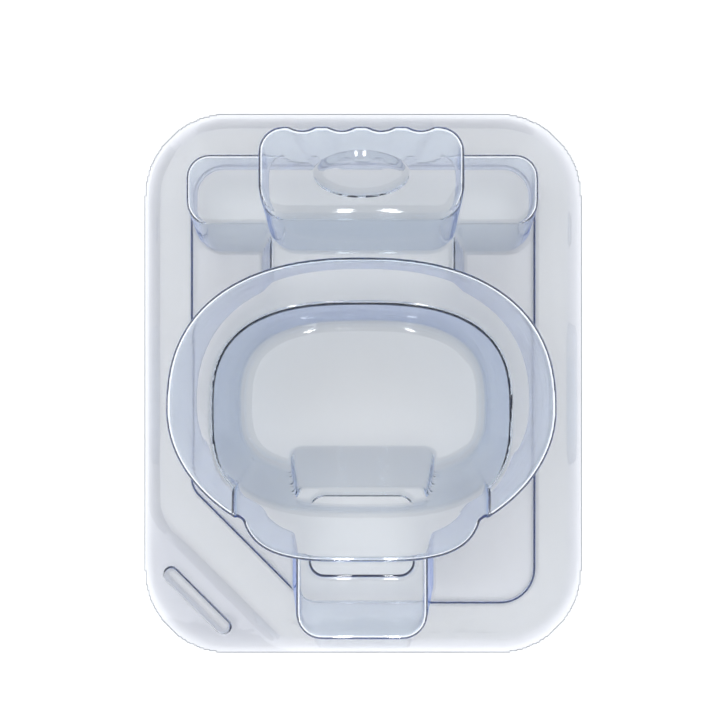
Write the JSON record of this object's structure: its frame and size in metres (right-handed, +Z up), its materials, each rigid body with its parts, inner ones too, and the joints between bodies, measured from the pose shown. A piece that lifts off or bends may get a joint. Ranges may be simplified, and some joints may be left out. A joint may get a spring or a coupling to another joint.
{
  "type": "medical blister tray",
  "caption": "Clear thermoformed blister tray with an oval ring and well, a scalloped block, side lugs, a finger tab and a flat sealing flange with a peel corner",
  "frame": {"origin": "middle of the sealing flange's underside, on the surface the tray stands on", "axes": "+X across the tray, +Y along it towards the scalloped block, +Z up out of the raised forms"},
  "size_m": [0.14, 0.173, 0.0398],
  "materials": {
    "clear_sheet": "clear, slightly blue formed plastic sheet, glossy on both faces"
  },
  "bodies": {
    "root": {"tray": "clear_sheet"}
  },
  "joints": []
}
